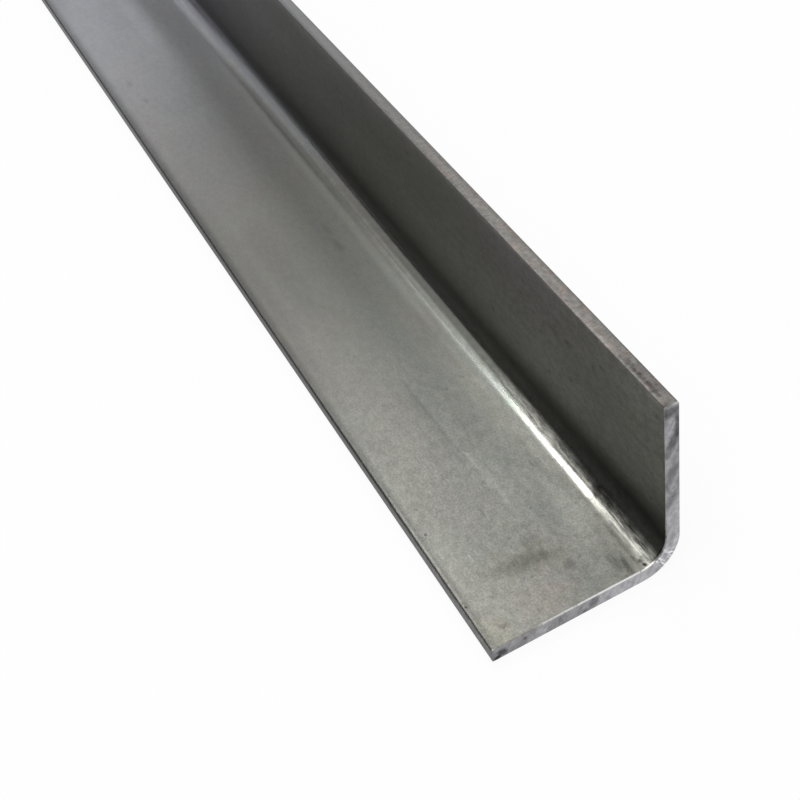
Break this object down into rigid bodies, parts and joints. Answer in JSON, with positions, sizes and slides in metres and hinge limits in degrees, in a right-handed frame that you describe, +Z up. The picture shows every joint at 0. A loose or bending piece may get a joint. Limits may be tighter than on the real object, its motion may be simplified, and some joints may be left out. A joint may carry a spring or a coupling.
{
  "type": "metal angle section",
  "caption": "Bent steel angle: equal legs joined by a rounded heel, one leg flat and one upright, plain and undrilled, for frames, edges and supports.",
  "frame": {"origin": "middle of the bar's length and of its footprint, on the face that the flat leg lies on", "axes": "+X along the bar towards the sawn end, +Y towards the outer face of the upright leg, +Z up along the upright leg"},
  "size_m": [1, 0.04, 0.04],
  "materials": {
    "steel": "bare mill steel, satin grey with a bright line pressed along the inside of the bend"
  },
  "bodies": {
    "root": {"angle_bar": "steel"}
  },
  "joints": []
}
